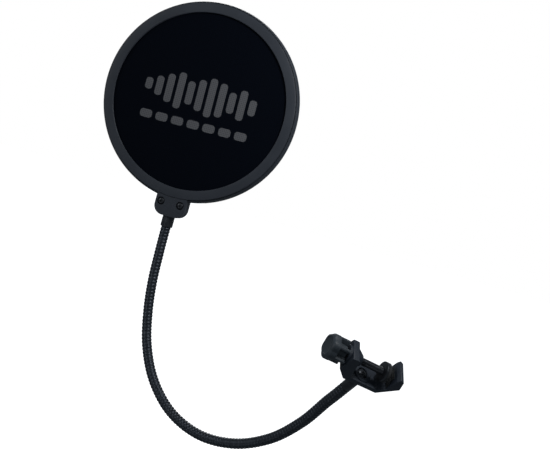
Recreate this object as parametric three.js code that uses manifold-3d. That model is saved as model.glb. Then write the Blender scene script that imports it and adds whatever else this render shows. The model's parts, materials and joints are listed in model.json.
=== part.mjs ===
// Pop filter: a round double-mesh screen on a gooseneck arm with a screw clamp.
// Millimetres, +Z up. The screen stands upright and faces -Y. The origin is on the fixed jaw's
// grip face, on the clamp screw's axis.
import * as THREE from 'three';
import { mergeVertices } from 'three/addons/utils/BufferGeometryUtils.js';
import Module from 'manifold-3d';

const wasm = await Module();
wasm.setup();

// Screen: two hoops, each with a mesh disc held in a groove inside it.
const HOOP_OUTER_R = 77.5;
const HOOP_INNER_R = 68.1;
const HOOP_HALF_DEPTH = 6.5;
const HOOP_SEGMENTS = 64;
const GAP = 0.3; // between pieces that touch
const MESH_THICKNESS = 0.4;
const MESH_Y = 4.6; // middle of each mesh, from the parting plane
const MESH_BITE = 2.1; // how far a mesh disc goes into its hoop

// Tab at the bottom of the hoops, split like them, that grips the upper ferrule.
const TAB_WIDTH = 24.6;
const TAB_BOTTOM = -90.8;
const TAB_CORNER_R = 7.5;
const TAB_FILLET_R = 2.6;
const TAB_HALF_DEPTH = 6.0;
const TAB_SCREW_X = 7.85;
const TAB_SCREW_Z = -80.5;

// Gooseneck arm and its end ferrules.
const NECK_R = 3.6;
const NECK_JOINTS = 8;
const JOINT_SETBACK = 4.0; // from a joint to the centre of a link's round end
const UPPER_FERRULE_R = 4.7;
const UPPER_FERRULE_TOP = -74.5;
const UPPER_FERRULE_BOTTOM = -99;
const LOWER_FERRULE_R = 3.75;
const LOWER_FERRULE_START = 3.6;
const LOWER_FERRULE_END = 17;
const FERRULE_BORE_R = 3.9;
const FERRULE_BITE = 6; // how far the arm goes into the upper ferrule

// Clamp, in its own frame: X along the screw towards the fixed jaw, Z out of the mouth.
const CLAMP_WIDTH = 15.4;
const SPINE_THICKNESS = 3.3;
const SCREW_HEIGHT = 9.9; // screw axis above the spine's inner face
const SCREW_R = 2.4;
const NUT_ACROSS_FLATS = 8;
const KNOB_R = 8.6;
const KNOB_LOBES = 6;
const PAD_R = 6.5;
const PAD_FACE_X = 11.4;
const JAW_X = 15.9; // inner face of the fixed jaw
const GRIP_X = 15.0; // face of the liner on the fixed jaw

// Where the clamp stands: directions in the part's frame.
const SCREW_DIRECTION = new THREE.Vector3(0.862, 0.46, -0.212).normalize();
const MOUTH_DIRECTION = new THREE.Vector3(0.449, -0.5, 0.741).normalize();
// Centre of the screen from the origin.
const SCREEN_CENTRE = new THREE.Vector3(-195.6, 101, 138.7);

// The arm's route from the screen's ferrule to the clamp's, from the centre of the screen.
const NECK_ROUTE = [
  [0, 0, -93], [0, -0.2, -104], [1.1, -3, -121], [2.9, -6.4, -142], [6.9, -9.7, -165],
  [14.6, -14.7, -188.7], [28.8, -22.2, -210.4], [50.6, -31.2, -226.8], [77.2, -38.8, -233.5],
  [104.4, -46.2, -228.9], [128.7, -55.2, -214.7], [148.1, -69.1, -192.8], [161.2, -83.2, -170.8],
];

const COLORS = {
  hoop: 0x2a2e33, mesh: 0x07080b, arm: 0x1c1f22, steel: 0x25272a, clamp: 0x15171a,
  knob: 0x24272b, rubber: 0x101113,
};

function material(color, roughness, metalness) {
  return new THREE.MeshStandardMaterial({ color, roughness, metalness });
}

const hoopPlastic = () => material(COLORS.hoop, 0.55, 0);
const meshFabric = () => material(COLORS.mesh, 0.95, 0);
const armSteel = () => material(COLORS.arm, 0.45, 0.6);
const darkSteel = () => material(COLORS.steel, 0.4, 0.8);
const clampPlastic = () => material(COLORS.clamp, 0.5, 0);
const knobPlastic = () => material(COLORS.knob, 0.45, 0);
const rubber = () => material(COLORS.rubber, 0.9, 0);

function mesh(name, geometry, look) {
  const piece = new THREE.Mesh(geometry, look);
  piece.name = name;
  return piece;
}

function solid(geometry) {
  const bare = geometry.index ? geometry.toNonIndexed() : geometry.clone();
  bare.deleteAttribute('normal');
  bare.deleteAttribute('uv');
  const merged = mergeVertices(bare, 1e-4);
  return new wasm.Manifold(new wasm.Mesh({
    numProp: 3,
    vertProperties: merged.attributes.position.array,
    triVerts: new Uint32Array(merged.index.array),
  }));
}

function geometryOf(made) {
  const { vertProperties, triVerts } = made.getMesh();
  const geometry = new THREE.BufferGeometry();
  geometry.setAttribute('position', new THREE.BufferAttribute(vertProperties, 3));
  geometry.setIndex(new THREE.BufferAttribute(triVerts, 1));
  geometry.computeVertexNormals();
  return geometry;
}

const join = (first, ...others) =>
  geometryOf(others.reduce((made, other) => made.add(solid(other)), solid(first)));
const cut = (body, ...tools) =>
  geometryOf(tools.reduce((made, tool) => made.subtract(solid(tool)), solid(body)));

// A solid of revolution about Y. The profile is a list of [radius, height] from one end of the
// axis to the other, or a closed loop.
function turned(profile, segments) {
  const points = profile.map(([r, y]) => new THREE.Vector2(r, y));
  return new THREE.LatheGeometry(points, segments);
}

// A round bar from one axial position to another, along X, Y or Z.
function bar(axis, radius, from, to, segments = 24) {
  const geometry = new THREE.CylinderGeometry(radius, radius, to - from, segments);
  geometry.translate(0, (from + to) / 2, 0);
  if (axis === 'x') geometry.rotateZ(-Math.PI / 2);
  if (axis === 'z') geometry.rotateX(Math.PI / 2);
  return geometry;
}

// A Phillips recess: a cross of two slots, open at the head's top, about the given axis.
function crossRecess(axis, length, width, from, to) {
  const box = (a, b) => {
    const geometry = new THREE.BoxGeometry(a, to - from, b);
    geometry.translate(0, (from + to) / 2, 0);
    if (axis === 'z') geometry.rotateX(Math.PI / 2);
    return geometry;
  };
  return [box(length, width), box(width, length)];
}

// ---- screen ----

// Half of the screen's rim, for y below zero: an outer wall that swells to the parting plane,
// a flat face and a groove inside for the mesh.
function hoopRing() {
  const groove = MESH_THICKNESS / 2 + GAP;
  const grooveR = HOOP_INNER_R + MESH_BITE + GAP;
  const parting = -GAP / 2;
  return turned([
    [HOOP_INNER_R, parting],
    [HOOP_INNER_R, -MESH_Y + groove],
    [grooveR, -MESH_Y + groove],
    [grooveR, -MESH_Y - groove],
    [HOOP_INNER_R, -MESH_Y - groove],
    [HOOP_INNER_R, -HOOP_HALF_DEPTH + 0.5],
    [HOOP_INNER_R + 0.6, -HOOP_HALF_DEPTH],
    [HOOP_OUTER_R - 2.6, -HOOP_HALF_DEPTH],
    [HOOP_OUTER_R - 1.4, -HOOP_HALF_DEPTH + 0.6],
    [HOOP_OUTER_R - 0.5, -HOOP_HALF_DEPTH / 2],
    [HOOP_OUTER_R, parting - 0.7],
    [HOOP_OUTER_R - 0.6, parting],
    [HOOP_INNER_R, parting],
  ], HOOP_SEGMENTS);
}

// Points along a round corner, from one angle to another in quarter turns.
function corner(x, y, radius, from, to, steps = 6) {
  return Array.from({ length: steps + 1 }, (_, i) => {
    const angle = ((from + ((to - from) * i) / steps) * Math.PI) / 2;
    return new THREE.Vector2(x + radius * Math.cos(angle), y + radius * Math.sin(angle));
  });
}

// The tab's outline in X and Z: straight sides that flare into the rim and round lower corners.
function tabOutline() {
  const half = TAB_WIDTH / 2;
  const flareX = half + TAB_FILLET_R;
  const flareTop = -Math.sqrt((HOOP_OUTER_R - 2.9) ** 2 - flareX ** 2);
  const flareZ = flareTop - TAB_FILLET_R;
  const cornerX = half - TAB_CORNER_R;
  const cornerZ = TAB_BOTTOM + TAB_CORNER_R;
  return new THREE.Shape([
    ...corner(-flareX, flareZ, TAB_FILLET_R, 1, 0),
    ...corner(-cornerX, cornerZ, TAB_CORNER_R, 2, 3),
    ...corner(cornerX, cornerZ, TAB_CORNER_R, 3, 4),
    ...corner(flareX, flareZ, TAB_FILLET_R, 2, 1),
    new THREE.Vector2(flareX, flareTop + 1.2),
    new THREE.Vector2(-flareX, flareTop + 1.2),
  ]);
}

function tabBlock() {
  const bevel = 0.5;
  const block = new THREE.ExtrudeGeometry(tabOutline(), {
    depth: TAB_HALF_DEPTH - GAP / 2 - 2 * bevel, bevelThickness: bevel, bevelSize: bevel,
    bevelOffset: -bevel, bevelSegments: 2,
  });
  block.translate(0, 0, GAP / 2 + bevel);
  return block.rotateX(Math.PI / 2); // outline into X and Z, thickness towards -Y
}

function ferruleChannel() {
  return bar('z', UPPER_FERRULE_R + GAP, TAB_BOTTOM - 5, UPPER_FERRULE_TOP + GAP, 20);
}

function frontHoop() {
  const screwHoles = [-1, 1].flatMap((side) => [
    bar('y', 3.05, -10, -3.8, 20).translate(side * TAB_SCREW_X, 0, TAB_SCREW_Z),
    bar('y', 1.7, -5, 1, 16).translate(side * TAB_SCREW_X, 0, TAB_SCREW_Z),
  ]);
  return cut(join(hoopRing(), tabBlock()), ferruleChannel(), ...screwHoles);
}

function rearHoop() {
  const screwHoles = [-1, 1].map((side) =>
    bar('y', 1.7, -5, 4.7, 16).translate(side * TAB_SCREW_X, 0, TAB_SCREW_Z));
  const half = join(hoopRing(), tabBlock());
  half.rotateZ(Math.PI);
  return cut(half, ferruleChannel(), ...screwHoles);
}

function meshDisc(side) {
  const middle = side * MESH_Y;
  return bar('y', HOOP_INNER_R + MESH_BITE, middle - MESH_THICKNESS / 2,
    middle + MESH_THICKNESS / 2, HOOP_SEGMENTS);
}

// Pan-head screw through the front tab into the rear one.
function tabScrew(side) {
  const head = turned([
    [0, 4.4], [1.4, 4.4], [1.4, -4.1], [2.6, -4.1], [2.6, -5.1], [2.1, -5.7], [1.2, -6.0], [0, -6.1],
  ].reverse(), 20);
  const recess = crossRecess('y', 2.8, 0.6, -7, -5.2);
  return cut(head, ...recess).translate(side * TAB_SCREW_X, 0, TAB_SCREW_Z);
}

// ---- arm ----

function upperFerrule() {
  const body = turned([
    [0, UPPER_FERRULE_BOTTOM], [UPPER_FERRULE_R - 0.5, UPPER_FERRULE_BOTTOM],
    [UPPER_FERRULE_R, UPPER_FERRULE_BOTTOM + 0.5], [UPPER_FERRULE_R, UPPER_FERRULE_TOP],
    [0, UPPER_FERRULE_TOP],
  ], 24).rotateX(Math.PI / 2);
  const bore = bar('z', FERRULE_BORE_R, UPPER_FERRULE_BOTTOM - 1,
    UPPER_FERRULE_BOTTOM + FERRULE_BITE + GAP);
  return cut(body, bore);
}

// Built along -Z, from the spine's outer face down; the arm butts on its far end.
function lowerFerrule() {
  const body = turned([
    [0, -LOWER_FERRULE_END], [LOWER_FERRULE_R - 0.3, -LOWER_FERRULE_END],
    [LOWER_FERRULE_R, -LOWER_FERRULE_END + 0.3], [LOWER_FERRULE_R, -LOWER_FERRULE_START - 0.3],
    [LOWER_FERRULE_R - 0.3, -LOWER_FERRULE_START], [0, -LOWER_FERRULE_START],
  ], 24).rotateX(Math.PI / 2);
  return cut(body, bar('z', 2.1, -9.6, 0, 16));
}

// The middle line of the arm: straight into each ferrule and through the route's points between.
function neckCurve(clampCentre, mouth) {
  const points = NECK_ROUTE.map((p) => new THREE.Vector3(...p));
  for (const depth of [LOWER_FERRULE_END + 12, LOWER_FERRULE_END + GAP])
    points.push(clampCentre.clone().addScaledVector(mouth, -depth));
  return new THREE.CatmullRomCurve3(points);
}

// One link of the arm between two distances along the curve, round at each end that has a joint.
function neckLink(curve, from, to, roundStart, roundEnd) {
  const length = curve.getLength();
  const start = from + (roundStart ? JOINT_SETBACK : 0);
  const end = to - (roundEnd ? JOINT_SETBACK : 0);
  const steps = 6;
  const stretch = [];
  for (let i = 0; i <= steps; i++)
    stretch.push(curve.getPointAt((start + ((end - start) * i) / steps) / length));
  const section = new THREE.Shape().absarc(0, 0, NECK_R, 0, Math.PI * 2, false);
  const tube = new THREE.ExtrudeGeometry(section, {
    steps: 5, curveSegments: 6, extrudePath: new THREE.CatmullRomCurve3(stretch),
  });
  const balls = [];
  if (roundStart) balls.push(ball(stretch[0], curve.getTangentAt(start / length)));
  if (roundEnd) balls.push(ball(stretch[steps], curve.getTangentAt(end / length)));
  return join(tube, ...balls);
}

function ball(centre, along) {
  const geometry = new THREE.SphereGeometry(NECK_R, 12, 6);
  geometry.applyQuaternion(new THREE.Quaternion().setFromUnitVectors(
    new THREE.Vector3(0, 1, 0), along));
  return geometry.translate(centre.x, centre.y, centre.z);
}

function neckLinks(curve) {
  const length = curve.getLength();
  const spacing = length / NECK_JOINTS;
  const joints = Array.from({ length: NECK_JOINTS }, (_, i) => (i + 0.5) * spacing);
  const ends = [0, ...joints, length];
  return ends.slice(1).map((to, i) => {
    const number = ends.length - 1 - i; // counted from the clamp
    const link = neckLink(curve, ends[i], to, i > 0, i < NECK_JOINTS);
    return mesh(`gooseneck_${String(number).padStart(2, '0')}`, link, armSteel());
  });
}

// ---- clamp ----

// The C-shaped profile in X and Z: nut arm on the left, spine below, fixed jaw on the right.
function clampOutline() {
  const outline = new THREE.Shape();
  outline.moveTo(-12.4, -SPINE_THICKNESS);
  outline.lineTo(12.3, -SPINE_THICKNESS);
  outline.lineTo(21.6, 5.8);
  outline.quadraticCurveTo(24.4, 8.6, 23.1, 11.2);
  outline.lineTo(21.1, 15.4);
  outline.quadraticCurveTo(20.3, 17, 18.8, 17);
  outline.lineTo(17.6, 17);
  outline.lineTo(JAW_X, 14.8);
  outline.lineTo(JAW_X, 4.2);
  outline.lineTo(11.6, 0);
  outline.lineTo(-9.2, 0);
  outline.lineTo(-12.9, 15.4);
  outline.quadraticCurveTo(-13.2, 16.8, -14.5, 16.8);
  outline.lineTo(-17.1, 16.8);
  outline.quadraticCurveTo(-18.4, 16.8, -18.5, 15.4);
  outline.lineTo(-19.5, 3.5);
  outline.closePath();
  return outline;
}

function clampBody() {
  const bevel = 0.6;
  const casting = new THREE.ExtrudeGeometry(clampOutline(), {
    depth: CLAMP_WIDTH - 2 * bevel, bevelThickness: bevel, bevelSize: bevel,
    bevelOffset: -bevel, bevelSegments: 2, curveSegments: 4,
  });
  casting.translate(0, 0, -CLAMP_WIDTH / 2 + bevel);
  casting.rotateX(Math.PI / 2);
  const centreBoss = bar('z', 6.2, -1, 1.2, 32);
  const nutBoss = bar('x', 6.3, -20, -15, 32).translate(0, 0, SCREW_HEIGHT);
  const guideBoss = turned([[0, -13.5], [6.9, -13.5], [3.6, -8.6], [0, -8.6]], 32);
  guideBoss.rotateZ(-Math.PI / 2).translate(0, 0, SCREW_HEIGHT);
  const nutPocket = hexPrism(NUT_ACROSS_FLATS + 2 * GAP, -25, -16);
  return cut(join(casting, centreBoss, nutBoss, guideBoss),
    bar('z', 2.2, -10, 5, 16),
    bar('z', 3.6, -1.2, 5, 24),
    bar('x', SCREW_R + GAP, -25, -5).translate(0, 0, SCREW_HEIGHT),
    nutPocket);
}

// A six-sided prism along X on the screw's axis.
function hexPrism(acrossFlats, from, to) {
  const prism = bar('x', acrossFlats / Math.sqrt(3), from, to, 6);
  return prism.translate(0, 0, SCREW_HEIGHT);
}

function clampNut() {
  return cut(hexPrism(NUT_ACROSS_FLATS, -19.7, -16.3),
    bar('x', SCREW_R + GAP, -25, -10).translate(0, 0, SCREW_HEIGHT));
}

function jawLiner() {
  const face = new THREE.Shape();
  const half = 5.8;
  face.moveTo(-half, 5);
  face.lineTo(half, 5);
  face.lineTo(half, 11);
  face.quadraticCurveTo(half, 14.6, half - 3.5, 14.6);
  face.lineTo(-half + 3.5, 14.6);
  face.quadraticCurveTo(-half, 14.6, -half, 11);
  face.closePath();
  const liner = new THREE.ExtrudeGeometry(face, {
    depth: JAW_X - GAP - GRIP_X, bevelEnabled: false, curveSegments: 4,
  });
  liner.rotateX(Math.PI / 2);
  liner.rotateZ(Math.PI / 2);
  return liner.translate(GRIP_X, 0, 0);
}

function swivelScrew() {
  const body = turned([
    [0, -9.3], [1.8, -9.3], [1.8, -0.9], [3.25, -0.9], [3.25, 0.1], [2.6, 1.0], [1.5, 1.4], [0, 1.5],
  ], 20).rotateX(Math.PI / 2);
  return cut(body, ...crossRecess('z', 3.4, 0.75, 0.2, 3));
}

function pressurePad() {
  const disc = turned([
    [0, 8], [PAD_R - 0.3, 8], [PAD_R, 8.3], [PAD_R, 9.2], [PAD_R - 0.3, 9.5], [0, 9.5],
  ], 28).rotateZ(-Math.PI / 2);
  return cut(disc, bar('x', SCREW_R + GAP, 0, 9.1, 20)).translate(0, 0, SCREW_HEIGHT);
}

function padFacing() {
  const disc = turned([
    [0, 9.9], [PAD_R, 9.9], [PAD_R, PAD_FACE_X - 0.3], [PAD_R - 0.3, PAD_FACE_X], [0, PAD_FACE_X],
  ], 28);
  return disc.rotateZ(-Math.PI / 2).translate(0, 0, SCREW_HEIGHT);
}

function clampScrew() {
  const rod = turned([
    [0, -29], [SCREW_R, -29], [SCREW_R, 8.2], [SCREW_R - 0.6, 8.8], [0, 8.8],
  ], 20);
  return rod.rotateZ(-Math.PI / 2).translate(0, 0, SCREW_HEIGHT);
}

// Star knob: a lobed cap with a raised ring on its end and, towards the clamp, a core with one
// rib under each lobe.
function knob() {
  const lobed = new THREE.Shape();
  const points = 60;
  for (let i = 0; i < points; i++) {
    const angle = (i / points) * Math.PI * 2;
    const r = KNOB_R - 0.5 - 0.5 * Math.cos(KNOB_LOBES * angle);
    lobed[i ? 'lineTo' : 'moveTo'](r * Math.cos(angle), r * Math.sin(angle));
  }
  const cap = new THREE.ExtrudeGeometry(lobed, {
    depth: 2.4, bevelThickness: 1.2, bevelSize: 1.2, bevelOffset: -1.2, bevelSegments: 3,
  });
  cap.rotateY(Math.PI / 2).translate(-32.6 + 1.2, 0, 0);
  const ring = turned([
    [0, -32.7], [5.4, -32.7], [5.7, -33.1], [6.3, -33.1], [7, -32.4], [7, -31], [0, -31],
  ], 32).rotateZ(-Math.PI / 2);
  const core = bar('x', 5, -29, -21, 20);
  const ribs = [];
  for (let i = 0; i < KNOB_LOBES; i++) {
    const rib = new THREE.BoxGeometry(7.5, 2.2, 5).translate(-24.75, 0, KNOB_R - 3);
    ribs.push(rib.rotateX(((i + 0.5) / KNOB_LOBES) * Math.PI * 2));
  }
  return cut(join(cap, ring, core, ...ribs), bar('x', SCREW_R + GAP, -29.3, -20, 20))
    .translate(0, 0, SCREW_HEIGHT);
}

// ---- assembly ----

function screen() {
  const group = new THREE.Group();
  group.add(
    mesh('front_hoop', frontHoop(), hoopPlastic()),
    mesh('rear_hoop', rearHoop(), hoopPlastic()),
    mesh('front_mesh', meshDisc(-1), meshFabric()),
    mesh('rear_mesh', meshDisc(1), meshFabric()),
    mesh('tab_screw_left', tabScrew(-1), darkSteel()),
    mesh('tab_screw_right', tabScrew(1), darkSteel()),
    mesh('upper_ferrule', upperFerrule(), darkSteel()),
  );
  return group;
}

function clamp() {
  const group = new THREE.Group();
  group.add(
    mesh('clamp_body', clampBody(), clampPlastic()),
    mesh('clamp_nut', clampNut(), darkSteel()),
    mesh('jaw_liner', jawLiner(), rubber()),
    mesh('clamp_screw', clampScrew(), darkSteel()),
    mesh('knob', knob(), knobPlastic()),
    mesh('pressure_pad', pressurePad(), darkSteel()),
    mesh('pad_facing', padFacing(), rubber()),
    mesh('swivel_screw', swivelScrew(), darkSteel()),
    mesh('lower_ferrule', lowerFerrule(), darkSteel()),
  );
  return group;
}

const width = new THREE.Vector3().crossVectors(MOUTH_DIRECTION, SCREW_DIRECTION).normalize();
const mouth = new THREE.Vector3().crossVectors(SCREW_DIRECTION, width).normalize();
const turn = new THREE.Matrix4().makeBasis(SCREW_DIRECTION, width, mouth);

const clampGroup = clamp();
clampGroup.quaternion.setFromRotationMatrix(turn);
clampGroup.position.copy(new THREE.Vector3(-GRIP_X, 0, -SCREW_HEIGHT).applyMatrix4(turn));

const screenGroup = screen();
screenGroup.position.copy(SCREEN_CENTRE);

const curve = neckCurve(clampGroup.position.clone().sub(SCREEN_CENTRE), mouth);
const arm = new THREE.Group();
arm.position.copy(SCREEN_CENTRE);
arm.add(...neckLinks(curve));

const popFilter = new THREE.Group();
popFilter.add(screenGroup, arm, clampGroup);

export default popFilter;
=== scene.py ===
"""Pop filter: a round double-mesh screen on a gooseneck arm with a screw clamp."""

import json
import math

import bmesh
import bpy
from mathutils import Matrix, Vector


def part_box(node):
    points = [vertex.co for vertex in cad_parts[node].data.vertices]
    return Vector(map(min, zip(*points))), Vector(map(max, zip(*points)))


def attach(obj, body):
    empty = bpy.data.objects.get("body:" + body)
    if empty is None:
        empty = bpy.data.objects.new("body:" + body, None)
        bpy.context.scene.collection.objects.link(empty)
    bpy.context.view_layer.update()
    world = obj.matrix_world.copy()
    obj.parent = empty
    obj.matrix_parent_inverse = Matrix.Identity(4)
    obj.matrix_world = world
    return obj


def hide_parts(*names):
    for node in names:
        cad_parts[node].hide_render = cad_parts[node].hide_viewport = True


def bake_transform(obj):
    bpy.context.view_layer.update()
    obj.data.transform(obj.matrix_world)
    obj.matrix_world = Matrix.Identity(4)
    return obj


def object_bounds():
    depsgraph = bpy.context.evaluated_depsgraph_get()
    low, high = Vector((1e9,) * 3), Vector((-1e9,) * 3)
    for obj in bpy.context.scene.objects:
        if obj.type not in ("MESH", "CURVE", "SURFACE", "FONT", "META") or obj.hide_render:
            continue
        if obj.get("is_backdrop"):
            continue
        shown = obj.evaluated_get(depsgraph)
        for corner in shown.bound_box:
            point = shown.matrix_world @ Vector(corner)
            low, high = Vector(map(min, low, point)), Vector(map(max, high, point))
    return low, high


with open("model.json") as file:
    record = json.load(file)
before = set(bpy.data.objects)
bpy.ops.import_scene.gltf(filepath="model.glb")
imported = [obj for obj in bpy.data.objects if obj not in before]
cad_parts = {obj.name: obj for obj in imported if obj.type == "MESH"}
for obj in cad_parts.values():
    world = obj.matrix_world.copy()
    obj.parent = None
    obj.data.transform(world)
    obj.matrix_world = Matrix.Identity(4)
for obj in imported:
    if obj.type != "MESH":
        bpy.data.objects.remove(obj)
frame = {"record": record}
CAD_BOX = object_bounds()
JOINTS = {joint["name"]: joint for joint in frame["record"]["behaviour"]["joints"]}
MM = 0.001
SMOOTH_ANGLE = 35.0  # degrees; a sharper edge stays an edge

# Screen, in mm from its centre; Y is its thickness. FRONT and REAR are the signs of Y.
FRONT = -1
REAR = 1
HOOP_OUTER_R = 77.5
HOOP_INNER_R = 68.1
HOOP_HALF_DEPTH = 6.5
HOOP_SEGMENTS = 288
PARTING_GAP = 0.12  # from the parting plane to each hoop
MESH_R = 70.2
MESH_Y = 4.6
MESH_GROOVE_HALF = 0.45  # half the width of the groove that holds the fabric
FABRIC_THICKNESS = 0.25
FABRIC_SLACK = 0.35
FABRIC_PULL = 0.24
PULLS = 3  # round the rim
PULL_PHASE = 1.3  # radians
WEAVE_SCALE = 1400 / (2 * math.pi)  # of Blender's wave texture: 1.41 mm from thread to thread
TAB_WIDTH = 24.6
TAB_BOTTOM = -90.8
TAB_CORNER_R = 7.5
TAB_FILLET_R = 2.6
TAB_HALF_DEPTH = 6.0
TAB_INTO_RIM = 2.9
TAB_SCREW_X = 7.85
TAB_SCREW_Z = -80.5
TAB_SCREW_HOLE_R = 1.7
TAB_RECESS_R = 3.05
TAB_RECESS_FLOOR = -3.8
TAB_SCREW_TOP = -6.0
UPPER_FERRULE_R = 4.7
UPPER_FERRULE = (-99.0, -74.5)
FERRULE_BORE_DEPTH = 9.5

# Print on the front layer, in mm from the screen's centre: bars over a row of dashes.
BAR_HEIGHTS = [9, 15, 22, 28, 18, 24, 30, 26, 16, 23, 12]
BAR_PITCH = 8.4
BAR_WIDTH = 5.8
BAR_Z = 5
DASH_COUNT = 7
DASH_PITCH = 12.85
DASH_WIDTH = 9.8
DASH_HEIGHT = 6.4
DASH_Z = -18
PRINT_CORNER_R = 2.4
PRINT_TURN = 0.9  # degrees, anticlockwise from the front
INK_LIFT = 0.18  # from the fabric's middle surface
INK_THICKNESS = 0.04

# Gooseneck: wound from round wire with a narrow filler between the turns.
NECK_R = 3.8
RIB_PITCH = 2.65
RIB_DEPTH = 0.45
WIRE_SHARE = 0.74  # of the pitch
WIRE_ROUND = 0.97  # how much of the wire's half circle shows
FILLER_DEPTH = 0.76  # of the rib's depth
FILLER_RISE = 0.12
HOSE_IN_FERRULE = 3  # past the route's end
LEAD_IN = 12  # straight stretch at the clamp's ferrule
HOSE_GAP = 0.3  # between the hose and that ferrule
NECK_ROUTE = [
    (0, 0, -93), (0, -0.2, -104), (1.1, -3, -121), (2.9, -6.4, -142), (6.9, -9.7, -165),
    (14.6, -14.7, -188.7), (28.8, -22.2, -210.4), (50.6, -31.2, -226.8), (77.2, -38.8, -233.5),
    (104.4, -46.2, -228.9), (128.7, -55.2, -214.7), (148.1, -69.1, -192.8),
    (161.2, -83.2, -170.8),
]
LOWER_FERRULE_R = 3.75
LOWER_FERRULE = (-17.0, -3.6)

# Clamp, in mm in its own frame: X along the screw to the fixed jaw, Z out of the mouth.
CLAMP_WIDTH = 15.4
SPINE_THICKNESS = 3.3
SCREW_HEIGHT = 9.9
SCREW_R = 2.4
THREAD_PITCH = 0.8
KNOB_R = 8.6
KNOB_LOBES = 6
PAD_R = 6.5
PAD_FACE_X = 11.4
JAW_X = 15.9
GRIP_X = 15.0
LINER_RIBS = 5
LINER_RIB_Z = 6.4
LINER_RIB_PITCH = 1.6
LINER_RIB_HALF = (4.6, 0.3)  # across the jaw, along it
NUT_ACROSS_FLATS = 8
NUT_BORE_R = 2.55
ROD_ENDS = (-29.0, 8.8)
THREAD_CREST = 0.08  # above SCREW_R
THREAD_DEPTH = 0.42
ROD_CHAMFER = 0.7
KNOB_INNER_X = -21
SWIVEL_SCREW_TOP = 1.5

# Camera, from the screen's centre in mm, and lights, from the object's middle in metres.
CAMERA_FROM_SCREEN = Vector((191.6, -631.9, -41.4))
CAMERA_RIGHT = Vector((0.9461, 0.1781, 0.2705))
CAMERA_BACK = Vector((0.1705, -0.984, 0.0513))
LENS_MM = 55.5
AMBIENT = 0.22
LIGHTS = [  # name, place, size in metres, power in watts
    ("key", (-1.2, -0.9, 0.5), 0.8, 6),
    ("low", (-0.6, -1.1, -0.75), 0.5, 3.5),
    ("fill", (1.3, -0.3, 0.9), 0.6, 3.5),
    ("back", (-0.4, 1.4, 0.6), 0.8, 9),
]
RIM_LIT = Vector((70, -6, 25))  # the spot on the hoop, in mm from its centre
RIM_LIGHT_FROM_SPOT = Vector((0.16, -0.2, 0.15))
RIM_LIGHT_SIZE = 0.1
RIM_LIGHT_POWER = 1.0
FLOOR_HALF = 12.0
FLOOR_DROP = 0.45


# ---- where things are ----

def screen_place():
    """The middle of the screen, as a placing matrix from mm."""
    low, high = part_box("front_mesh")
    rear_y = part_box("rear_mesh")[1].y
    middle = Vector(((low.x + high.x) / 2, (low.y + rear_y) / 2, (low.z + high.z) / 2))
    return Matrix.Translation(middle) @ Matrix.Scale(MM, 4)


def clamp_place():
    """The clamp's own frame, from its two joints, as a placing matrix from mm."""
    along = Vector(JOINTS["screw_slide"]["axis"]).normalized()
    mouth = Vector(JOINTS["clamp_swivel"]["axis"]).normalized()
    across = mouth.cross(along).normalized()
    mouth = along.cross(across)
    turn = Matrix((along, across, mouth)).transposed().to_4x4()
    return Matrix.Translation(JOINTS["clamp_swivel"]["pos_m"]) @ turn @ Matrix.Scale(MM, 4)


SCREEN = screen_place()
CLAMP = clamp_place()


# ---- materials ----

def node_material(name):
    """A new material, with its nodes, its links and its main shader."""
    made = bpy.data.materials.new(name)
    made.use_nodes = True
    nodes, links = made.node_tree.nodes, made.node_tree.links
    return made, nodes, links, nodes["Principled BSDF"]


def noise(nodes, links, scale, detail):
    """A noise texture, fixed to the object."""
    coordinates = nodes.new("ShaderNodeTexCoord")
    texture = nodes.new("ShaderNodeTexNoise")
    texture.inputs["Scale"].default_value = scale
    texture.inputs["Detail"].default_value = detail
    links.new(coordinates.outputs["Object"], texture.inputs["Vector"])
    return texture


def ramp(nodes, links, value, stops):
    """Turns a value into a colour, from (position, colour) stops."""
    made = nodes.new("ShaderNodeValToRGB")
    while len(made.color_ramp.elements) < len(stops):
        made.color_ramp.elements.new(0.5)
    for element, (position, color) in zip(made.color_ramp.elements, stops):
        element.position = position
        element.color = (*color, 1)
    links.new(value, made.inputs["Fac"])
    return made


def bump(nodes, links, height, shader, strength, distance):
    """Lets a value from 0 to 1 raise the surface."""
    made = nodes.new("ShaderNodeBump")
    made.inputs["Strength"].default_value = strength
    made.inputs["Distance"].default_value = distance
    links.new(height, made.inputs["Height"])
    links.new(made.outputs["Normal"], shader.inputs["Normal"])


def uneven_gloss(nodes, links, shader, value, smoothest, roughest):
    """Lets the roughness follow a value from 0 to 1."""
    gloss = nodes.new("ShaderNodeMapRange")
    gloss.inputs["To Min"].default_value = smoothest
    gloss.inputs["To Max"].default_value = roughest
    links.new(value, gloss.inputs["Value"])
    links.new(gloss.outputs["Result"], shader.inputs["Roughness"])


def moulded_plastic(name, dark, light, roughness, shine, grain=2600.0):
    """Matte moulded plastic: slow colour drift, uneven gloss and a fine spark-eroded grain."""
    made, nodes, links, shader = node_material(name)
    drift = noise(nodes, links, scale=38.0, detail=4.0)
    color = ramp(nodes, links, drift.outputs["Fac"], [(0.3, dark), (0.7, light)])
    links.new(color.outputs["Color"], shader.inputs["Base Color"])
    uneven_gloss(nodes, links, shader, drift.outputs["Fac"], roughness - 0.06, roughness + 0.08)
    shader.inputs["Specular IOR Level"].default_value = shine
    texture = noise(nodes, links, scale=grain, detail=2.0)
    bump(nodes, links, texture.outputs["Fac"], shader, strength=0.25, distance=0.08 * MM)
    return made


def blackened_steel(name, dark, light, roughness):
    """Black-finished steel: faint mottling of the finish and soft handling marks."""
    made, nodes, links, shader = node_material(name)
    mottle = noise(nodes, links, scale=420.0, detail=5.0)
    color = ramp(nodes, links, mottle.outputs["Fac"], [(0.3, dark), (0.75, light)])
    links.new(color.outputs["Color"], shader.inputs["Base Color"])
    shader.inputs["Metallic"].default_value = 0.75
    uneven_gloss(nodes, links, shader, mottle.outputs["Fac"], roughness - 0.08, roughness + 0.1)
    return made


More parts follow.
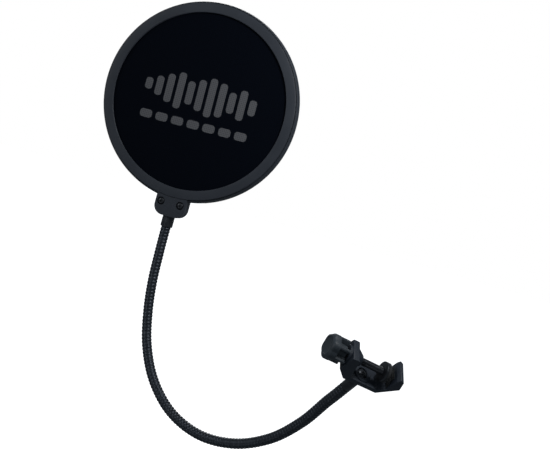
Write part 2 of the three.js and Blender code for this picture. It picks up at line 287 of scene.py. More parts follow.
def woven(name, thread, hole, shine):
    """Plain-woven nylon: threads across and along, with dark holes between them."""
    made, nodes, links, shader = node_material(name)
    coordinates = nodes.new("ShaderNodeTexCoord")
    waves = []
    for direction in ("X", "Z"):
        wave = nodes.new("ShaderNodeTexWave")
        wave.bands_direction = direction
        wave.inputs["Scale"].default_value = WEAVE_SCALE
        links.new(coordinates.outputs["Object"], wave.inputs["Vector"])
        waves.append(wave)
    weave = nodes.new("ShaderNodeMath")
    weave.operation = "MULTIPLY"
    links.new(waves[0].outputs["Fac"], weave.inputs[0])
    links.new(waves[1].outputs["Fac"], weave.inputs[1])
    color = ramp(nodes, links, weave.outputs[0], [(0.05, thread), (0.6, hole)])
    links.new(color.outputs["Color"], shader.inputs["Base Color"])
    shader.inputs["Roughness"].default_value = 0.85
    shader.inputs["Specular IOR Level"].default_value = shine
    bump(nodes, links, weave.outputs[0], shader, strength=0.4, distance=0.1 * MM)
    return made


def rubber(name, dark, light):
    """Matte rubber with fine pores."""
    made, nodes, links, shader = node_material(name)
    pores = noise(nodes, links, scale=1500.0, detail=4.0)
    color = ramp(nodes, links, pores.outputs["Fac"], [(0.35, dark), (0.7, light)])
    links.new(color.outputs["Color"], shader.inputs["Base Color"])
    shader.inputs["Roughness"].default_value = 0.85
    bump(nodes, links, pores.outputs["Fac"], shader, strength=0.35, distance=0.1 * MM)
    return made


HOOP = moulded_plastic("hoop_plastic", (0.016, 0.0195, 0.026), (0.0215, 0.0255, 0.033), 0.5, 0.25)
CLAMP_PLASTIC = moulded_plastic(
    "clamp_plastic", (0.009, 0.013, 0.020), (0.014, 0.019, 0.028), 0.55, 0.25, 1800.0)
# Lighter than the clamp's plastic: painted light, standing in for the light on the knob's cap.
KNOB_PLASTIC = moulded_plastic(
    "knob_plastic", (0.017, 0.023, 0.029), (0.023, 0.030, 0.038), 0.55, 0.3)
ARM_STEEL = blackened_steel("arm_steel", (0.015, 0.019, 0.025), (0.028, 0.034, 0.043), 0.38)
DARK_STEEL = blackened_steel("dark_steel", (0.018, 0.02, 0.024), (0.035, 0.039, 0.045), 0.42)
MESH = woven("mesh_fabric", (0.0006, 0.0016, 0.0042), (0.0002, 0.0006, 0.0016), 0.04)
PRINT = woven("print_ink", (0.072, 0.074, 0.08), (0.043, 0.045, 0.05), 0.12)
GRIP_RUBBER = rubber("grip_rubber", (0.005, 0.006, 0.007), (0.01, 0.011, 0.013))


# ---- mesh helpers: every outline is in mm, and place turns it into the frame's metres ----

ALONG = {"x": lambda u, v, h: (h, u, v), "y": lambda u, v, h: (u, h, v),
         "z": lambda u, v, h: (u, v, h)}


def new_object(name, bm, place, material, smooth_angle=SMOOTH_ANGLE):
    """An object from a bmesh, which it uses up."""
    bm.normal_update()
    mesh = bpy.data.meshes.new(name)
    bm.to_mesh(mesh)
    bm.free()
    mesh.transform(place)
    mesh.materials.append(material)
    made = bpy.data.objects.new(name, mesh)
    bpy.context.scene.collection.objects.link(made)
    mesh.shade_smooth()
    mesh.set_sharp_from_angle(angle=math.radians(smooth_angle))
    return made


def fixed(made, body, node):
    """Lets a piece stand for a CAD node and ride on its body."""
    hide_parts(node)
    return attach(made, body)


def turned(bm, profile, segments, axis, offset=(0, 0, 0)):
    """Adds a solid of revolution. The profile is (radius, height) pairs, closed if it ends
    where it starts, or else from one end of the axis to the other."""
    closed = profile[0] == profile[-1]
    points = profile[:-1] if closed else profile
    lift = Vector(offset)
    turn = ALONG[axis]
    angles = [2 * math.pi * i / segments for i in range(segments)]
    rings = []
    for r, h in points:
        if r == 0:
            rings.append([bm.verts.new(Vector(turn(0, 0, h)) + lift)])
            continue
        rings.append([
            bm.verts.new(Vector(turn(r * math.cos(a), r * math.sin(a), h)) + lift)
            for a in angles])
    pairs = list(zip(rings, rings[1:]))
    if closed:
        pairs.append((rings[-1], rings[0]))
    for lower, upper in pairs:
        for i in range(segments):
            j = (i + 1) % segments
            if len(lower) == 1 and len(upper) == 1:
                continue
            if len(lower) == 1:
                bm.faces.new((lower[0], upper[i], upper[j]))
            elif len(upper) == 1:
                bm.faces.new((lower[i], lower[j], upper[0]))
            else:
                bm.faces.new((lower[i], lower[j], upper[j], upper[i]))
    bmesh.ops.recalc_face_normals(bm, faces=bm.faces)


def tube(bm, rings):
    """Joins rings of points into a closed skin with flat ends."""
    rings = [[bm.verts.new(point) for point in ring] for ring in rings]
    for lower, upper in zip(rings, rings[1:]):
        for j in range(len(lower)):
            k = (j + 1) % len(lower)
            bm.faces.new((lower[j], lower[k], upper[k], upper[j]))
    bm.faces.new(rings[0][::-1])
    bm.faces.new(rings[-1])


def arc(x, y, radius, start, end, steps=10):
    """Points on a round corner; angles in quarter turns."""
    angles = [math.pi / 2 * (start + (end - start) * i / steps) for i in range(steps + 1)]
    return [(x + radius * math.cos(a), y + radius * math.sin(a)) for a in angles]


def rounded(corners, steps):
    """An outline from (x, y, radius) corners, each rounded with a true arc."""
    points = []
    count = len(corners)
    for i, (x, y, radius) in enumerate(corners):
        here = Vector((x, y))
        before = (Vector(corners[i - 1][:2]) - here).normalized()
        after = (Vector(corners[(i + 1) % count][:2]) - here).normalized()
        if radius == 0:
            points.append((x, y))
            continue
        half = before.angle(after) / 2
        start = here + before * radius / math.tan(half)
        end = here + after * radius / math.tan(half)
        centre = here + (before + after).normalized() * radius / math.sin(half)
        for k in range(steps + 1):
            t = k / steps
            spread = (start - centre).slerp(end - centre, t)
            points.append(tuple(centre + spread))
    return points


def slab(bm, outline, low, high, axis):
    """Adds a straight-sided solid: the outline lies across the axis."""
    turn = ALONG[axis]
    bottom = [bm.verts.new(turn(u, v, low)) for u, v in outline]
    top = [bm.verts.new(turn(u, v, high)) for u, v in outline]
    faces = [bm.faces.new(bottom), bm.faces.new(top)]
    count = len(outline)
    for i in range(count):
        j = (i + 1) % count
        faces.append(bm.faces.new((bottom[i], bottom[j], top[j], top[i])))
    bmesh.ops.recalc_face_normals(bm, faces=faces)


def apply_modifiers(made):
    """Replaces an object's mesh with what its modifiers make of it."""
    depsgraph = bpy.context.evaluated_depsgraph_get()
    mesh = bpy.data.meshes.new_from_object(made.evaluated_get(depsgraph), depsgraph=depsgraph)
    made.modifiers.clear()
    made.data = mesh
    mesh.shade_smooth()
    mesh.set_sharp_from_angle(angle=math.radians(SMOOTH_ANGLE))


def boolean(made, tool_bm, place, operation="DIFFERENCE"):
    """Cuts or joins with a solid made in mm, and applies the result."""
    tool = new_object(made.name + "_tool", tool_bm, place, made.data.materials[0])
    modifier = made.modifiers.new("cut", "BOOLEAN")
    modifier.operation = operation
    modifier.solver = "EXACT"
    modifier.object = tool
    apply_modifiers(made)
    bpy.data.objects.remove(tool)


def soften(made, width_mm, segments, angle):
    """Rounds the edges sharper than an angle, as a mould does."""
    modifier = made.modifiers.new("edges", "BEVEL")
    modifier.width = width_mm * MM
    modifier.segments = segments
    modifier.limit_method = "ANGLE"
    modifier.angle_limit = math.radians(angle)
    apply_modifiers(made)


# ---- screen ----

def rim_profile(side):
    """Half of the rim in (radius, y): it swells to the parting line, and has a fine groove near
    its rounded outer edge and a groove inside for the mesh."""
    face = -HOOP_HALF_DEPTH
    near, far = -MESH_Y - MESH_GROOVE_HALF, -MESH_Y + MESH_GROOVE_HALF
    groove_r = MESH_R + 0.2
    inner = [(HOOP_INNER_R, -PARTING_GAP), (HOOP_INNER_R, far), (groove_r, far),
             (groove_r, near), (HOOP_INNER_R, near)]
    inner_edge = arc(HOOP_INNER_R + 0.5, face + 0.5, 0.5, 2, 3, 5)
    outer_edge = [*arc(HOOP_OUTER_R - 2.5, face + 0.5, 0.5, 3, 4, 4),
                  (HOOP_OUTER_R - 2.05, face + 2.1), (HOOP_OUTER_R - 1.75, face + 2.1)]
    wall = [*arc(HOOP_OUTER_R - 1.45, face + 1.45, 0.3, 2.6, 3.6, 3),
            (HOOP_OUTER_R - 0.95, -4.5), (HOOP_OUTER_R - 0.5, -3.2), (HOOP_OUTER_R - 0.15, -1.6),
            (HOOP_OUTER_R, -0.75), (HOOP_OUTER_R - 0.12, -0.45), (HOOP_OUTER_R - 0.7, -PARTING_GAP)]
    points = inner + inner_edge + outer_edge + wall
    points.append(points[0])
    return [(r, -y * side) for r, y in points]


def tab_outline():
    """The tab's front view: fillets into the rim, and round lower corners."""
    half = TAB_WIDTH / 2
    flare_x = half + TAB_FILLET_R
    flare_top = -math.sqrt((HOOP_OUTER_R - TAB_INTO_RIM) ** 2 - flare_x ** 2)
    flare_z = flare_top - TAB_FILLET_R
    corner_x = half - TAB_CORNER_R
    corner_z = TAB_BOTTOM + TAB_CORNER_R
    return (arc(-flare_x, flare_z, TAB_FILLET_R, 1, 0)
            + arc(-corner_x, corner_z, TAB_CORNER_R, 2, 3, 14)
            + arc(corner_x, corner_z, TAB_CORNER_R, 3, 4, 14)
            + arc(flare_x, flare_z, TAB_FILLET_R, 2, 1)
            + [(flare_x, flare_top + 1.2), (-flare_x, flare_top + 1.2)])


def screw_hole(side):
    """A tab screw's hole: through the front half with a recess for the head, blind in the rear."""
    r = TAB_SCREW_HOLE_R
    if side == REAR:
        return [(0, -1), (r, -1), (r, 4.7), (0, 4.7)]
    return [(0, -9), (3.5, -9), (TAB_RECESS_R, -5.7), (TAB_RECESS_R, TAB_RECESS_FLOOR),
            (r, TAB_RECESS_FLOOR), (r, 1), (0, 1)]


def hoop(name, side, node):
    """One half of the rim, with its half of the tab."""
    bm = bmesh.new()
    slab(bm, tab_outline(), *sorted((PARTING_GAP * side, TAB_HALF_DEPTH * side)), "y")
    made = new_object(name, bm, SCREEN, HOOP)
    soften(made, width_mm=0.5, segments=3, angle=30)
    ring = bmesh.new()
    turned(ring, rim_profile(side), HOOP_SEGMENTS, "y")
    boolean(made, ring, SCREEN, "UNION")
    bore = bmesh.new()
    bore_r, bore_top = UPPER_FERRULE_R + 0.15, UPPER_FERRULE[1] + 0.3
    turned(bore, [(0, -120), (bore_r, -120), (bore_r, bore_top), (0, bore_top)], 48, "z")
    boolean(made, bore, SCREEN)
    for x in (-TAB_SCREW_X, TAB_SCREW_X):
        hole = bmesh.new()
        turned(hole, screw_hole(side), 40, "y", (x, 0, TAB_SCREW_Z))
        boolean(made, hole, SCREEN)
    return fixed(made, "head", node)


def fabric_y(x, z, side):
    """The fabric's middle surface: a little slack towards the centre, with faint pulls."""
    share = min(1.0, math.hypot(x, z) / MESH_R)
    slack = FABRIC_SLACK * math.cos(math.pi / 2 * share) ** 2
    pull = FABRIC_PULL * math.sin(PULLS * math.atan2(z, x) + PULL_PHASE) * share ** 2 * (1 - share)
    return side * (MESH_Y - slack - pull)


def mesh_layer(name, side, node):
    """A stretched disc of fabric, held in its half of the rim."""
    rings, spokes = 26, 96
    bm = bmesh.new()
    grid = []
    for i in range(rings + 1):
        r = MESH_R * i / rings
        ring = []
        for j in range(spokes if i else 1):
            a = 2 * math.pi * j / spokes
            x, z = r * math.cos(a), r * math.sin(a)
            ring.append(bm.verts.new((x, fabric_y(x, z, side), z)))
        grid.append(ring)
    for inner, outer in zip(grid, grid[1:]):
        for j in range(spokes):
            k = (j + 1) % spokes
            if len(inner) == 1:
                bm.faces.new((inner[0], outer[j], outer[k]))
            else:
                bm.faces.new((inner[j], outer[j], outer[k], inner[k]))
    made = new_object(name, bm, SCREEN, MESH, smooth_angle=180)
    modifier = made.modifiers.new("cloth", "SOLIDIFY")
    modifier.thickness = FABRIC_THICKNESS * MM
    modifier.offset = 0
    apply_modifiers(made)
    return fixed(made, "head", node)


def printed_bars():
    """Plain sound-level bars over a row of dashes, printed on the front layer."""
    bm = bmesh.new()
    for i, height in enumerate(BAR_HEIGHTS):
        x = (i - (len(BAR_HEIGHTS) - 1) / 2) * BAR_PITCH
        printed_block(bm, x, BAR_Z, BAR_WIDTH, height)
    for i in range(DASH_COUNT):
        x = (i - (DASH_COUNT - 1) / 2) * DASH_PITCH
        printed_block(bm, x, DASH_Z, DASH_WIDTH, DASH_HEIGHT)
    bm.transform(Matrix.Rotation(-math.radians(PRINT_TURN), 4, "Y"))
    for v in bm.verts:
        v.co.y = fabric_y(v.co.x, v.co.z, FRONT) - INK_LIFT
    made = new_object("printed_bars", bm, SCREEN, PRINT, smooth_angle=180)
    modifier = made.modifiers.new("ink", "SOLIDIFY")
    modifier.thickness = INK_THICKNESS * MM
    modifier.offset = 1
    apply_modifiers(made)
    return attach(made, "head")


def printed_block(bm, x, z, width, height):
    """A rounded bar, in short strips so that it follows the fabric."""
    corner, w, h = PRINT_CORNER_R, width / 2, height / 2
    corner_steps, strips, columns = 6, 8, 4
    angles = [math.pi / 2 * i / corner_steps for i in range(corner_steps + 1)]
    ends = [(corner * (1 - math.cos(a)), corner * (1 - math.sin(a))) for a in angles]
    levels = [(-h + rise, w - inset) for rise, inset in ends]
    straight = 2 * (h - corner)
    levels += [(-h + corner + straight * i / strips, w) for i in range(1, strips)]
    levels += [(h - rise, w - inset) for rise, inset in reversed(ends)]
    rows = [[bm.verts.new((x + reach * (2 * k / columns - 1), 0, z + v)) for k in range(columns + 1)]
            for v, reach in levels]
    for lower, upper in zip(rows, rows[1:]):
        for k in range(columns):
            bm.faces.new((lower[k], lower[k + 1], upper[k + 1], upper[k]))


def cross_cut(made, place, centre, spin, length, width, depth):
    """A Phillips recess, tapering towards its bottom. Spin turns it from facing +Z."""
    for a, b in ((length, width), (width, length)):
        bm = bmesh.new()
        bmesh.ops.create_cube(bm, size=1)
        for v in bm.verts:
            taper = 1.0 if v.co.z > 0 else 0.55
            v.co = Vector((v.co.x * a * taper, v.co.y * b * taper, v.co.z * depth * 2))
        bm.transform(Matrix.Translation(centre) @ spin)
        boolean(made, bm, place)


def tab_screw(name, x, node):
    """A pan-head screw, its shank towards +Y and its head in the tab's recess."""
    bm = bmesh.new()
    profile = [(0, 4.4), (1.4, 4.4), (1.4, -3.9), (2.6, -3.9), (2.65, -4.1), (2.65, -4.8),
               (2.45, -5.25), (2.0, -5.6), (1.3, -5.85), (0.6, -5.97), (0, TAB_SCREW_TOP)]
    turned(bm, profile, 48, "y", (x, 0, TAB_SCREW_Z))
    made = new_object(name, bm, SCREEN, DARK_STEEL, smooth_angle=40)
    to_front = Matrix.Rotation(math.pi / 2, 4, "X")
    top = (x, TAB_SCREW_TOP, TAB_SCREW_Z)
    cross_cut(made, SCREEN, top, to_front, length=3.0, width=0.7, depth=1.0)
    return fixed(made, "head", node)


def upper_ferrule():
    """The sleeve between the tab's halves, bored from below for the hose."""
    bm = bmesh.new()
    low, high = UPPER_FERRULE
    r, bore_r, bore_top = UPPER_FERRULE_R, NECK_R + 0.12, low + FERRULE_BORE_DEPTH
    turned(bm, [(0, bore_top), (bore_r, bore_top), (bore_r, low + 0.2), (NECK_R + 0.4, low),
                (r - 0.3, low), (r - 0.08, low + 0.12), (r, low + 0.4), (r, high - 0.4),
                (r - 0.4, high), (0, high)], 64, "z")
    made = new_object("upper_sleeve", bm, SCREEN, DARK_STEEL)
    return fixed(made, "head", "upper_ferrule")


# ---- arm ----

def centripetal(points, per_span=40):
    """A centripetal Catmull-Rom curve through the points, as a list of closely spaced points."""
    ends = [2 * points[0] - points[1], *points, 2 * points[-1] - points[-2]]
    line = []
    for p0, p1, p2, p3 in zip(ends, ends[1:], ends[2:], ends[3:]):
        d0, d1, d2 = (math.sqrt((b - a).length) for a, b in ((p0, p1), (p1, p2), (p2, p3)))
        t1 = ((p1 - p0) / d0 - (p2 - p0) / (d0 + d1) + (p2 - p1) / d1) * d1
        t2 = ((p2 - p1) / d1 - (p3 - p1) / (d1 + d2) + (p3 - p2) / d2) * d1
        for i in range(per_span):
            u = i / per_span
            line.append((2 * u**3 - 3 * u**2 + 1) * p1 + (u**3 - 2 * u**2 + u) * t1
                        + (3 * u**2 - 2 * u**3) * p2 + (u**3 - u**2) * t2)
    return [*line, points[-1]]


def neck_line():
    """The arm's middle line in the frame's metres, from the clamp's ferrule to the screen's."""
    route = [SCREEN @ Vector(p) for p in NECK_ROUTE]
    for below_ferrule in (LEAD_IN, HOSE_GAP):
        route.append(CLAMP @ Vector((0, 0, LOWER_FERRULE[0] - below_ferrule)))
    return centripetal(route)[::-1]


class Line:
    """A polyline that gives points and turning frames by distance."""

    def __init__(self, points):
        self.points = points
        self.at = [0.0]
        for a, b in zip(points, points[1:]):
            self.at.append(self.at[-1] + (b - a).length)
        self.length = self.at[-1]
        last = len(points) - 1
        tangents = [(points[min(i + 1, last)] - points[max(i - 1, 0)]).normalized()
                    for i in range(len(points))]
        side = tangents[0].orthogonal().normalized()
        self.frames = []
        for tangent in tangents:
            side = (side - tangent * side.dot(tangent)).normalized()
            self.frames.append((tangent, side.copy()))

    def place(self, distance):
        """(point, side, other side) at a distance, extended straight past the ends."""
        low, high = 0, len(self.at) - 2
        while low < high:
            middle = (low + high + 1) // 2
            if self.at[middle] <= distance:
                low = middle
            else:
                high = middle - 1
        share = (distance - self.at[low]) / (self.at[low + 1] - self.at[low])
        point = self.points[low].lerp(self.points[low + 1], share)
        within = min(max(share, 0), 1)
        tangent = self.frames[low][0].lerp(self.frames[low + 1][0], within).normalized()
        side = self.frames[low][1].lerp(self.frames[low + 1][1], within)
        side = (side - tangent * side.dot(tangent)).normalized()
        return point, side, tangent.cross(side)


def rib_radius(turns):
    """The hose's radius where it has wound this many turns: a round wire, then a narrow filler."""
    share = turns % 1.0
    if share < WIRE_SHARE:
        x = 2 * share / WIRE_SHARE - 1
        return NECK_R - RIB_DEPTH * (1 - math.sqrt(1 - (WIRE_ROUND * x) ** 2))
    x = 2 * (share - WIRE_SHARE) / (1 - WIRE_SHARE) - 1
    return NECK_R - RIB_DEPTH * FILLER_DEPTH + FILLER_RISE * (1 - abs(x))


def neck_piece(line, number, start, end):
    """One stretch of the wound hose, from one distance to another."""
    around, per_pitch = 40, 14
    steps = round((end - start) / (RIB_PITCH * MM) * per_pitch)
    rings = []
    for i in range(steps + 1):
        distance = start + (end - start) * i / steps
        point, side, other = line.place(distance)
        ring = []
        for j in range(around):
            a = 2 * math.pi * j / around
            r = rib_radius(distance / (RIB_PITCH * MM) - j / around) * MM
            ring.append(point + (side * math.cos(a) + other * math.sin(a)) * r)
        rings.append(ring)
    bm = bmesh.new()
    tube(bm, rings)
    made = new_object(f"gooseneck_hose_{number}", bm, Matrix.Identity(4), ARM_STEEL, smooth_angle=50)
    line.place(start)[0]
    line.place(end)[0]
    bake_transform(made)
    return made


def gooseneck():
    """The hose in eight stretches, one round each neck joint. The last one reaches into the
    screen's ferrule and stands for two CAD links."""
    line = Line(neck_line())
    bends = [joint for name, joint in JOINTS.items() if name.startswith("neck_bend_")]
    span = line.length / len(bends)
    for number, joint in enumerate(bends, 1):
        start, end = (number - 1) * span, number * span
        nodes = [f"gooseneck_{number:02d}"]
        if number == len(bends):
            end += HOSE_IN_FERRULE * MM
            nodes.append(f"gooseneck_{number + 1:02d}")
        made = neck_piece(line, number, start, end)
        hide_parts(*nodes)


def lower_ferrule():
    """The smooth sleeve against the clamp's back."""
    bm = bmesh.new()
    low, high = LOWER_FERRULE
    r = LOWER_FERRULE_R
    turned(bm, [(0, low), (r - 0.4, low), (r - 0.12, low + 0.12), (r, low + 0.4), (r, high - 0.3),
                (r - 0.3, high), (0, high)], 64, "z")
    made = new_object("lower_sleeve", bm, CLAMP, DARK_STEEL)
    return fixed(made, "neck_base", "lower_ferrule")


# ---- clamp ----

def clamp_outline():
    """The side view: the spine, the fixed jaw at +X and the nut arm at -X."""
    return rounded([
        (-12.4, -SPINE_THICKNESS, 1.3), (12.3, -SPINE_THICKNESS, 1.6), (24.4, 8.6, 2.6),
        (20.3, 17.0, 1.6), (17.4, 17.0, 0.8), (JAW_X, 14.8, 1.2), (JAW_X, 4.2, 1.2), (11.6, 0, 1.4),
        (-9.2, 0, 1.4), (-13.2, 16.8, 1.2), (-18.3, 16.8, 1.2), (-19.5, 3.5, 1.2)], 8)


def on_screw(profile, segments):
    """A solid of revolution on the clamp screw's axis."""
    bm = bmesh.new()
    turned(bm, profile, segments, "x")
    bm.transform(Matrix.Translation((0, 0, SCREW_HEIGHT)) @ Matrix.Rotation(math.pi / 2, 4, "X"))
    return bm


def on_pivot(profile, segments):
    """A solid of revolution on the swivel's axis."""
    bm = bmesh.new()
    turned(bm, profile, segments, "z")
    return bm


def clamp_body():
    """The C-shaped moulding: three bosses, then the holes for the swivel, the screw and the nut."""
    bm = bmesh.new()
    slab(bm, clamp_outline(), -CLAMP_WIDTH / 2, CLAMP_WIDTH / 2, "y")
    made = new_object("clamp_casting", bm, CLAMP, CLAMP_PLASTIC)
    soften(made, width_mm=0.6, segments=3, angle=50)
    swivel_boss = on_pivot([(0, -1), (6.3, -1), (6.2, 0.9), (5.9, 1.2), (0, 1.2)], 56)
    nut_boss = on_screw([(0, -20), (5.9, -20), (6.2, -19.85), (6.3, -19.5), (6.3, -15), (0, -15)], 64)
    guide_boss = on_screw([(0, -13.5), (6.9, -13.5), (3.95, -8.9), (3.6, -8.6), (0, -8.8)], 64)
    for boss in (swivel_boss, nut_boss, guide_boss):
        boolean(made, boss, CLAMP, "UNION")
    swivel_hole = on_pivot([(0, -10), (2.2, -10), (2.2, -1.2), (3.6, -1.2), (3.6, 0.8),
                            (4.1, 1.4), (0, 1.4)], 48)
    rod_hole = on_screw([(0, -25), (2.7, -25), (2.7, -5), (0, -5)], 48)
    nut_pocket = on_screw([(0, -25), (4.96, -25), (4.96, -16), (0, -16)], 6)
    for hole in (swivel_hole, rod_hole, nut_pocket):
        boolean(made, hole, CLAMP)
    return fixed(made, "clamp", "clamp_body")


def clamp_nut():
    """The hexagon nut in the nut arm, with chamfered corners and a plain bore."""
    r, bore_r = NUT_ACROSS_FLATS / math.sqrt(3), NUT_BORE_R
    bm = on_screw([(bore_r, -19.7), (r - 0.5, -19.7), (r, -19.3), (r, -16.7), (r - 0.5, -16.3),
                   (2.9, -16.3), (bore_r, -16.6), (bore_r, -19.7)], 6)
    made = new_object("hex_nut", bm, CLAMP, DARK_STEEL, smooth_angle=20)
    return fixed(made, "clamp", "clamp_nut")


def jaw_liner():
    """The rubber liner on the fixed jaw, with its cross ribs."""
    bm = bmesh.new()
    outline = rounded([(-5.8, 5, 0.6), (5.8, 5, 0.6), (5.8, 14.6, 3.2), (-5.8, 14.6, 3.2)], 6)
    slab(bm, outline, GRIP_X, JAW_X - 0.05, "x")
    u, v = LINER_RIB_HALF
    for i in range(LINER_RIBS):
        z = LINER_RIB_Z + i * LINER_RIB_PITCH
        rib = [(-u, z - v), (u, z - v), (u, z + v), (-u, z + v)]
        slab(bm, rib, GRIP_X - 0.12, GRIP_X + 0.1, "x")
    made = new_object("ribbed_liner", bm, CLAMP, GRIP_RUBBER)
    soften(made, width_mm=0.08, segments=2, angle=60)
    return fixed(made, "clamp", "jaw_liner")


def swivel_screw():
    """The pan-head screw on which the arm turns, its head inside the clamp."""
    bm = on_pivot([(0, -9.3), (1.8, -9.3), (1.8, -0.9), (3.2, -0.9), (3.3, -0.7), (3.3, 0.1),
                   (3.1, 0.6), (2.6, 1.0), (1.7, 1.3), (0.8, 1.46), (0, SWIVEL_SCREW_TOP)], 48)
    made = new_object("pivot_screw", bm, CLAMP, DARK_STEEL, smooth_angle=40)
    top, no_turn = (0, 0, SWIVEL_SCREW_TOP), Matrix.Identity(4)
    cross_cut(made, CLAMP, top, no_turn, length=3.6, width=0.8, depth=1.2)
    return fixed(made, "neck_base", "swivel_screw")


def threaded_rod():
    """The clamp screw: a right-hand thread cut along its length, with a chamfered end."""
    start, end = ROD_ENDS
    around, per_pitch = 40, 8
    steps = round((end - start) / THREAD_PITCH * per_pitch)
    rings = []
    for i in range(steps + 1):
        x = start + (end - start) * i / steps
        chamfer = max(0.0, x - (end - ROD_CHAMFER)) * 0.8
        ring = []
        for j in range(around):
            a = 2 * math.pi * j / around
            share = (x / THREAD_PITCH - j / around) % 1.0
            depth = THREAD_DEPTH * abs(2 * share - 1)
            r = SCREW_R + THREAD_CREST - depth - chamfer
            ring.append((x, r * math.cos(a), r * math.sin(a) + SCREW_HEIGHT))
        rings.append(ring)
    bm = bmesh.new()
    tube(bm, rings)
    bmesh.ops.recalc_face_normals(bm, faces=bm.faces)
    made = new_object("threaded_rod", bm, CLAMP, DARK_STEEL, smooth_angle=60)
    return fixed(made, "screw", "clamp_screw")


def knob_outline(radius, depth, points=144):
    """Lobes with rounded valleys between them."""
    outline = []
    for i in range(points):
        a = 2 * math.pi * i / points
        wave = 0.5 + 0.5 * math.cos(KNOB_LOBES * a)
        r = radius - depth * (1 - wave ** 0.7)
        outline.append((r * math.cos(a), r * math.sin(a)))
    return outline


def knob():
    """The star knob: a lobed cap with a raised ring, a core and six ribs below it."""
    levels = [  # place on the screw's axis, radius, depth of the valleys
        (-32.75, 5.3, 0), (-32.8, 5.45, 0), (-33.05, 5.6, 0), (-33.15, 5.8, 0),
        (-33.15, 6.3, 0.3), (-33.08, 6.8, 0.5), (-32.85, 7.4, 0.66), (-32.5, 7.95, 0.78),
        (-32.0, 8.35, 0.88), (-31.4, KNOB_R, 0.93), (-28.3, KNOB_R, 0.97), (-27.95, 8.5, 0.97),
        (-27.8, 8.2, 0.97)]
    bm = bmesh.new()
    tube(bm, [[(x, u, v + SCREW_HEIGHT) for u, v in knob_outline(radius, depth)]
              for x, radius, depth in levels])
    bmesh.ops.recalc_face_normals(bm, faces=bm.faces)
    made = new_object("star_knob", bm, CLAMP, KNOB_PLASTIC, smooth_angle=50)
    core = on_screw([(0, -28.5), (5.1, -28.5), (4.9, KNOB_INNER_X - 0.4), (4.5, KNOB_INNER_X),
                     (2.7, KNOB_INNER_X), (2.7, -27.5), (0, -27.5)], 48)
    boolean(made, core, CLAMP, "UNION")
    for i in range(KNOB_LOBES):
        rib = bmesh.new()
        outline = rounded([(-1.15, 3.5, 0), (1.15, 3.5, 0), (0.95, 8.3, 0.85), (-0.95, 8.3, 0.85)], 4)
        slab(rib, outline, -28.2, KNOB_INNER_X, "x")
        spin = Matrix.Rotation(2 * math.pi * (i + 0.5) / KNOB_LOBES, 4, "X")
        rib.transform(Matrix.Translation((0, 0, SCREW_HEIGHT)) @ spin)
        boolean(made, rib, CLAMP, "UNION")
    return fixed(made, "screw", "knob")


def pressure_pad():
    """The pad's steel disc, with a socket for the screw's end."""
    r = PAD_R
    bm = on_screw([(2.75, 8), (r - 0.35, 8), (r - 0.1, 8.1), (r, 8.35), (r, 9.15), (r - 0.1, 9.4),
                   (r - 0.35, 9.5), (0, 9.5), (0, 9.15), (2.75, 9.15), (2.75, 8)], 72)
    made = new_object("pad_disc", bm, CLAMP, DARK_STEEL)
    return fixed(made, "pad", "pressure_pad")


def pad_facing():
    """The pad's rubber facing, with two ring grooves."""
    r, face = PAD_R, PAD_FACE_X
    bm = on_screw([(0, 9.6), (r - 0.3, 9.6), (r - 0.08, 9.7), (r, 9.95), (r, face - 0.4),
                   (r - 0.12, face - 0.12), (r - 0.4, face), (4.6, face), (4.4, face - 0.12),
                   (4.0, face - 0.12), (3.8, face), (2.4, face), (2.2, face - 0.12),
                   (1.8, face - 0.12), (1.6, face), (0, face)], 72)
    made = new_object("pad_face", bm, CLAMP, GRIP_RUBBER)
    return fixed(made, "pad", "pad_facing")


# ---- room ----

def camera():
    """The photograph's view of the screen."""
    data = bpy.data.cameras.new("camera")
    data.lens = LENS_MM
    data.clip_end = 50
    made = bpy.data.objects.new("camera", data)
    back = CAMERA_BACK.normalized()
    up = back.cross(CAMERA_RIGHT).normalized()
    turn = Matrix((up.cross(back), up, back)).transposed().to_4x4()
    made.matrix_world = Matrix.Translation(SCREEN @ CAMERA_FROM_SCREEN) @ turn
    bpy.context.scene.collection.objects.link(made)
    bpy.context.scene.camera = made


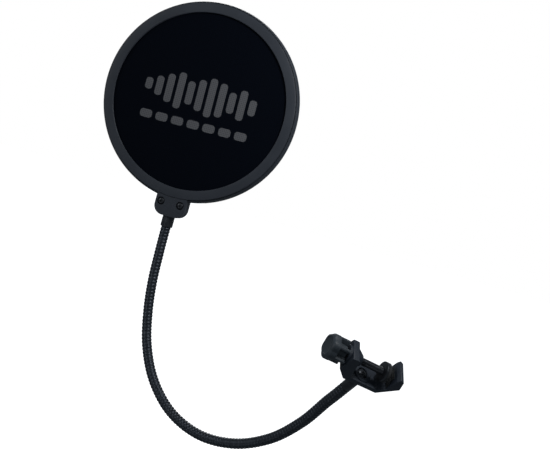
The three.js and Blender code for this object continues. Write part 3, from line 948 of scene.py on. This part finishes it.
def floor():
    """A white plane well below the object. Its own light falls on nothing."""
    bm = bmesh.new()
    size, level = FLOOR_HALF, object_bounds()[0][2] - FLOOR_DROP
    corners = [(-size, -size), (size, -size), (size, size), (-size, size)]
    bm.faces.new([bm.verts.new((u, v, level)) for u, v in corners])
    made, nodes, links, shader = node_material("pale_floor")
    shader.inputs["Base Color"].default_value = (0.9, 0.9, 0.9, 1)
    shader.inputs["Roughness"].default_value = 0.9
    shader.inputs["Emission Color"].default_value = (1, 1, 1, 1)
    shader.inputs["Emission Strength"].default_value = 1.0
    plane = new_object("floor", bm, Matrix.Identity(4), made)
    plane.visible_diffuse = False
    plane.visible_glossy = False
    plane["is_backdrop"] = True


def soft_light(name, position, target, size, power):
    """A round area light, aimed at a point."""
    data = bpy.data.lights.new(name, "AREA")
    data.shape = "DISK"
    data.size = size
    data.energy = power
    made = bpy.data.objects.new(name, data)
    made.location = position
    made.rotation_euler = (target - position).to_track_quat("-Z", "Y").to_euler()
    bpy.context.scene.collection.objects.link(made)


def studio():
    """A white background that lights the object only dimly, and soft lights around it."""
    world = bpy.data.worlds.new("studio")
    world.use_nodes = True
    nodes, links = world.node_tree.nodes, world.node_tree.links
    dim = nodes["Background"]
    dim.inputs["Color"].default_value = (0.8, 0.9, 1, 1)
    dim.inputs["Strength"].default_value = AMBIENT
    white = nodes.new("ShaderNodeBackground")
    white.inputs["Strength"].default_value = 1.0
    white.inputs["Color"].default_value = (1, 1, 1, 1)
    path, mix = nodes.new("ShaderNodeLightPath"), nodes.new("ShaderNodeMixShader")
    links.new(path.outputs["Is Camera Ray"], mix.inputs["Fac"])
    links.new(dim.outputs["Background"], mix.inputs[1])
    links.new(white.outputs["Background"], mix.inputs[2])
    links.new(mix.outputs["Shader"], nodes["World Output"].inputs["Surface"])
    bpy.context.scene.world = world
    bpy.context.scene.view_settings.view_transform = "Standard"
    low, high = (Vector(corner) for corner in CAD_BOX)
    middle = (low + high) / 2
    for name, place, size, power in LIGHTS:
        soft_light(name, middle + Vector(place), middle, size, power)
    spot = SCREEN @ RIM_LIT
    soft_light("rim", spot + RIM_LIGHT_FROM_SPOT, spot, RIM_LIGHT_SIZE, RIM_LIGHT_POWER)
    floor()


camera()
hoop("front_rim", FRONT, "front_hoop")
hoop("rear_rim", REAR, "rear_hoop")
mesh_layer("front_fabric", FRONT, "front_mesh")
mesh_layer("rear_fabric", REAR, "rear_mesh")
printed_bars()
tab_screw("tab_screw_left_piece", -TAB_SCREW_X, "tab_screw_left")
tab_screw("tab_screw_right_piece", TAB_SCREW_X, "tab_screw_right")
upper_ferrule()
gooseneck()
lower_ferrule()
clamp_body()
clamp_nut()
jaw_liner()
swivel_screw()
threaded_rod()
knob()
pressure_pad()
pad_facing()
studio()
